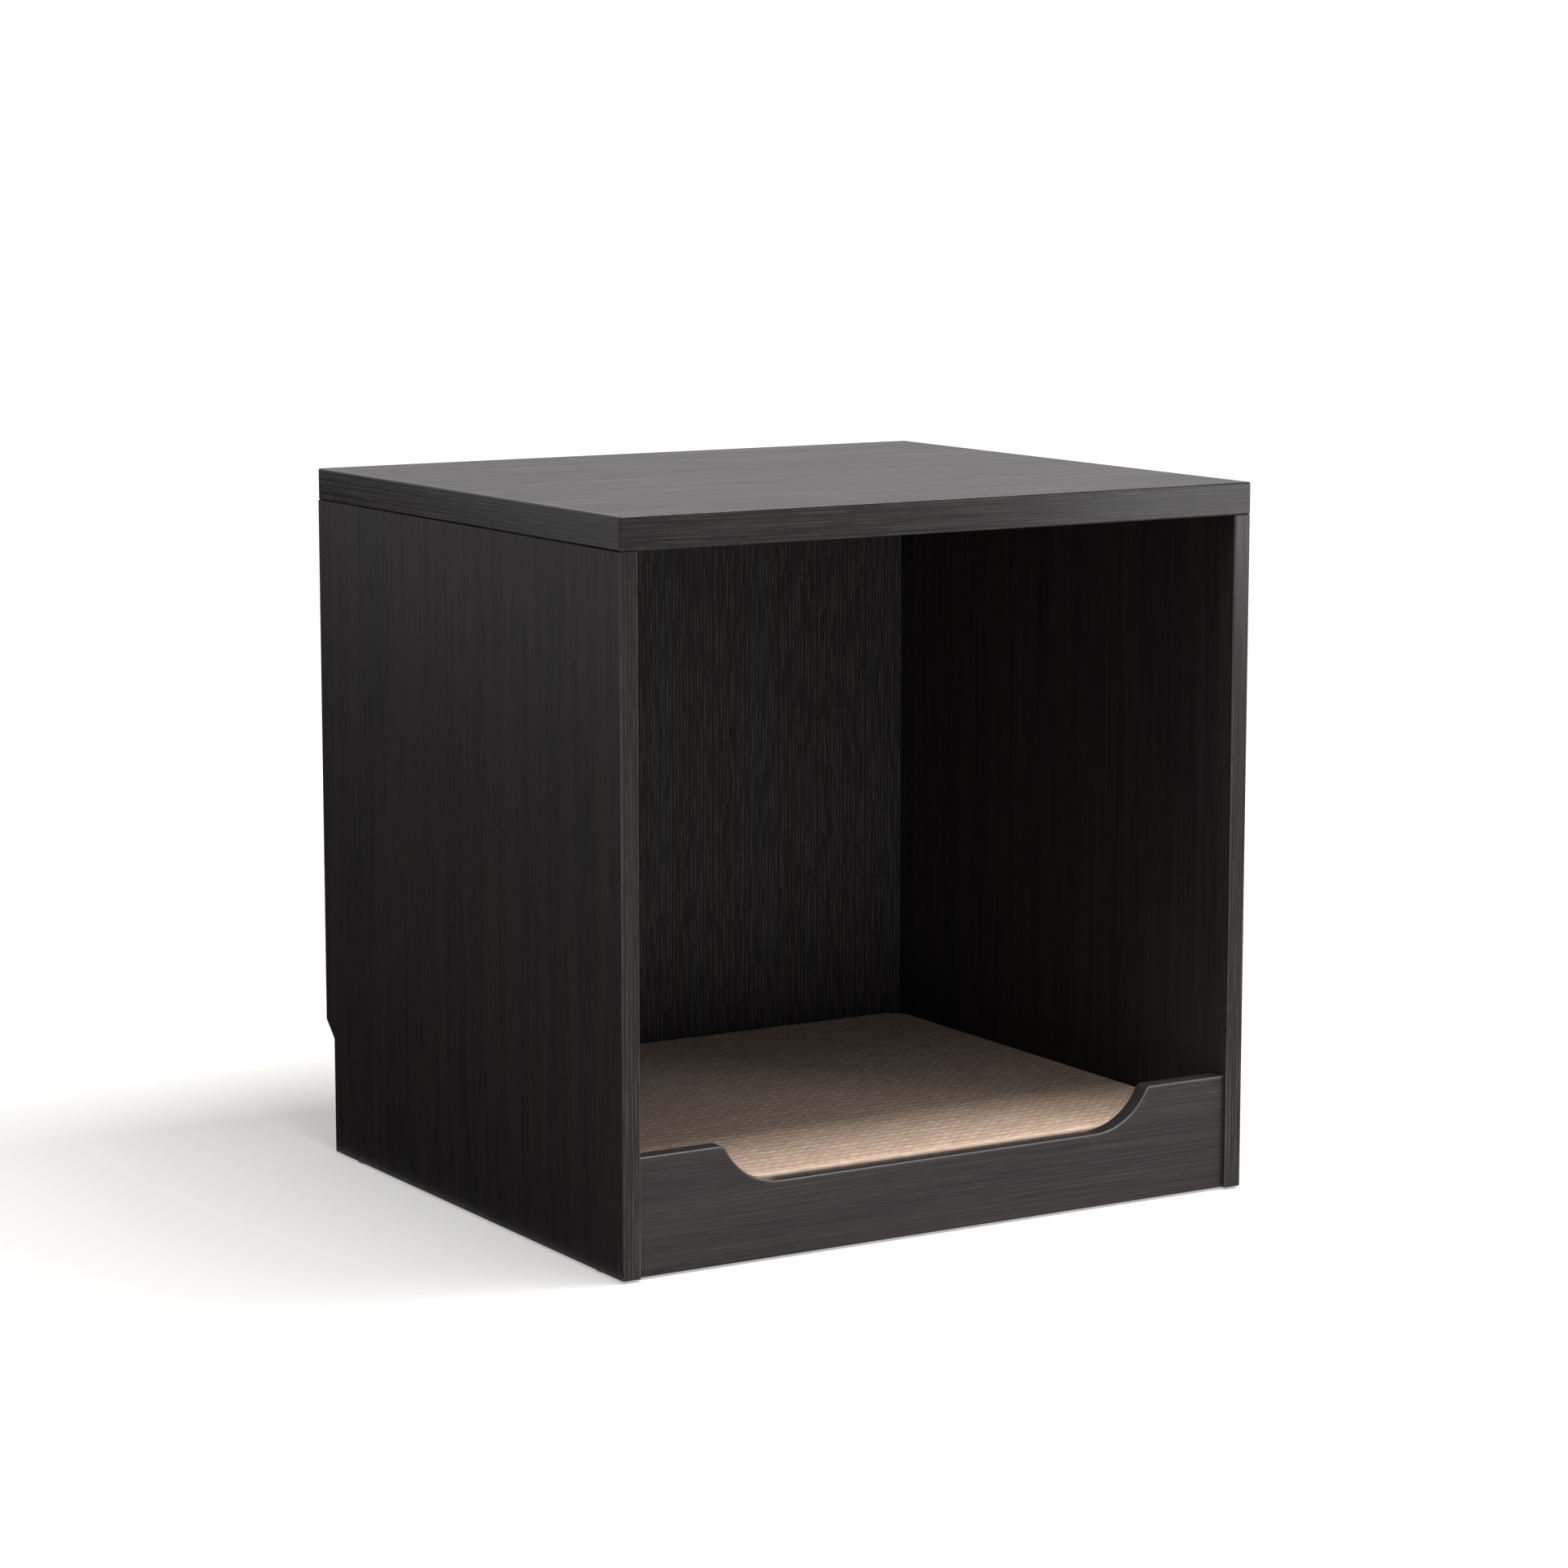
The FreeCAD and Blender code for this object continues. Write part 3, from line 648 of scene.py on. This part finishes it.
class PETTABLE_OT_stage(bpy.types.Operator):
    """Sets the pale floor, the soft lights and the camera"""

    bl_idname = "pettable.stage"
    bl_label = "Set the stage"

    FLOOR_REACH = 60.0
    # The floor goes from its own tone near the table to plain white further off, where it is looked at
    FADE_START, FADE_END = 0.5, 2.2
    GLOW_NEAR, GLOW_FAR = 0.4, 1.0
    # Softboxes: place, point aimed at, size, spread of the grid in degrees, and whether gloss shows them
    LIGHTS = {
        "key": ((0.4, -0.45, 2.2), (0.4, -0.45, 0.0), (1.8, 0.6), 180, True),
        # A broad one further out, so the light on the mat falls off softly towards the back
        "broad": ((-0.1, -1.0, 2.2), (-0.1, -0.3, 0.1), (2.0, 1.0), 180, False),
        "strip": ((1.14, -1.3, 0.52), (0.2, -0.2, 0.4), (0.45, 0.4), 180, True),
        # Lifts the back and the right side's inner face, and its grid keeps the den's floor dark
        "front": ((-0.22, -1.6, 0.08), (0.08, 0.22, 0.5), (0.8, 0.12), 42, True),
        # This one lies on the floor and lifts the sill and the feet, and its grid keeps it low
        "kicker": ((0.0, -0.5, 0.032), (0.0, -0.24, 0.05), (0.9, 0.05), 90, False),
    }
    # A black card beside the left side, seen only in that side's gloss, keeps the side dark
    FLAG_POINTS = (
        (-0.28, -0.8, 0.002), (-0.28, 0.6, 0.002),
        (-0.45, -0.8, 0.004), (-0.45, 2.6, 0.004),
        (-0.95, 0.4, 0.24), (-0.95, 2.6, 0.66),
    )
    FLAG_FACES = ((0, 1, 3, 2), (2, 3, 5, 4))
    FLAG_TONE = "#0c0c0c"
    SENSOR_WIDTH = 36.0

    def execute(self, context):
        scene = context.scene
        stage = scene.pet_table_stage
        scene.view_settings.view_transform = "Standard"
        self.lay_floor(stage)
        self.light_world(scene, stage)
        for name, (place, aim, size, spread, glossy) in self.LIGHTS.items():
            power = getattr(stage, name + "_power")
            self.hang_light(name + "_softbox", power, Vector(place), Vector(aim), size, spread, glossy)
        self.stand_flag()
        self.set_camera(scene, stage)
        return {"FINISHED"}

    def seen_direct(self, tree):
        """One where the camera looks straight at the stage, or sees it in a gloss or through a glass."""
        path = add(tree, "LightPath").node.outputs
        seen = path["Is Camera Ray"]
        for ray in ("Is Glossy Ray", "Is Transmission Ray"):
            seen = add(tree, "Math", {0: seen, 1: path[ray]}, operation="MAXIMUM")
        return seen

    def lay_floor(self, stage):
        """Matt pale floor that keeps the table's shadow and goes to white away from it."""
        material, tree, shader, _ = start_material(
            "paper_sweep_matt", Base_Color=stage.floor, Emission_Color=WHITE, Roughness=0.9,
            Specular_IOR_Level=0.0)
        away = add(tree, "VectorMath", {0: add(tree, "NewGeometry")}, operation="LENGTH")
        glow = add(tree, "MapRange", {
            0: away, 1: self.FADE_START, 2: self.FADE_END, 3: self.GLOW_NEAR, 4: self.GLOW_FAR})
        glow = add(tree, "Math", {0: self.seen_direct(tree), 1: glow}, operation="MULTIPLY")
        connect(tree, shader, Emission_Strength=glow)
        reach = self.FLOOR_REACH
        corners = [(-reach, -reach, 0), (reach, -reach, 0), (reach, reach, 0), (-reach, reach, 0)]
        floor = place_mesh("studio_floor", corners, [(0, 1, 2, 3)])
        floor.data.materials.append(material)

    def stand_flag(self):
        """Matt black card beside the table."""
        material, *_ = start_material(
            "felt_black_matt", Base_Color=linear(self.FLAG_TONE), Roughness=1.0, Specular_IOR_Level=0.0)
        flag = place_mesh("side_flag", self.FLAG_POINTS, self.FLAG_FACES)
        flag.data.materials.append(material)
        flag.visible_camera = False
        flag.visible_diffuse = False
        flag.visible_shadow = False

    def light_world(self, scene, stage):
        """Soft light from all round, white where it is looked at."""
        world = bpy.data.worlds.new("studio_surround")
        world.use_nodes = True
        tree = world.node_tree
        strength = add(tree, "Mix", {0: self.seen_direct(tree), 2: stage.fill, 3: 1.0})
        background = tree.nodes["Background"]
        background.inputs["Color"].default_value = WHITE
        connect(tree, background, Strength=strength)
        scene.world = world

    def hang_light(self, name, power, place, aim, size, spread, glossy):
        """A softbox that lights the table and stays out of the picture."""
        lamp = bpy.data.lights.new(name, "AREA")
        lamp.shape = "RECTANGLE"
        lamp.size, lamp.size_y = size
        lamp.energy = power
        lamp.spread = math.radians(spread)
        holder = bpy.data.objects.new(name, lamp)
        holder.location = place
        holder.rotation_euler = (aim - place).to_track_quat("-Z", "Y").to_euler()
        holder.visible_camera = False
        holder.visible_glossy = glossy
        bpy.context.scene.collection.objects.link(holder)

    def set_camera(self, scene, stage):
        """A camera at the photograph's viewing angle."""
        low, high = cad_box
        turn, rise = stage.azimuth, stage.elevation
        back = Vector((
            math.sin(turn) * math.cos(rise), -math.cos(turn) * math.cos(rise), math.sin(rise)))
        right = Vector((math.cos(turn), math.sin(turn), 0.0))
        up = back.cross(right)
        camera = bpy.data.cameras.new("studio_camera")
        camera.sensor_width = self.SENSOR_WIDTH
        camera.lens = stage.lens
        holder = bpy.data.objects.new("studio_camera", camera)
        middle = Vector((0.0, 0.0, (low.z + high.z) / 2))
        holder.location = middle + back * stage.distance + right * stage.aside + up * stage.above
        holder.rotation_euler = (-back).to_track_quat("-Z", "Y").to_euler()
        scene.collection.objects.link(holder)
        scene.camera = holder


OPERATORS = (
    PETTABLE_OT_boards,
    PETTABLE_OT_edging,
    PETTABLE_OT_back,
    PETTABLE_OT_fittings,
    PETTABLE_OT_mat,
    PETTABLE_OT_stage,
)
GROUPS = {
    "pet_table_board": PetTableBoard,
    "pet_table_mat": PetTableMat,
    "pet_table_stage": PetTableStage,
}


class VIEW3D_PT_pettable(bpy.types.Panel):
    """Lists the steps that finish the table, with their values"""

    bl_idname = "VIEW3D_PT_pettable"
    bl_label = "Pet End Table"
    bl_space_type = "VIEW_3D"
    bl_region_type = "UI"
    bl_category = "Pet table"

    def draw(self, context):
        for operator in OPERATORS:
            self.layout.operator(operator.bl_idname)
        for name, group in GROUPS.items():
            box = self.layout.box()
            for value in group.__annotations__:
                box.prop(getattr(context.scene, name), value)


def register():
    for group in GROUPS.values():
        bpy.utils.register_class(group)
    for name, group in GROUPS.items():
        setattr(bpy.types.Scene, name, bpy.props.PointerProperty(type=group))
    for operator in OPERATORS:
        bpy.utils.register_class(operator)
    bpy.utils.register_class(VIEW3D_PT_pettable)


def unregister():
    bpy.utils.unregister_class(VIEW3D_PT_pettable)
    for operator in reversed(OPERATORS):
        bpy.utils.unregister_class(operator)
    for name, group in GROUPS.items():
        delattr(bpy.types.Scene, name)
        bpy.utils.unregister_class(group)


def main():
    register()
    bpy.ops.pettable.boards()
    bpy.ops.pettable.edging()
    bpy.ops.pettable.back()
    bpy.ops.pettable.fittings()
    bpy.ops.pettable.mat()
    bpy.ops.pettable.stage()


if __name__ == "__main__":
    main()
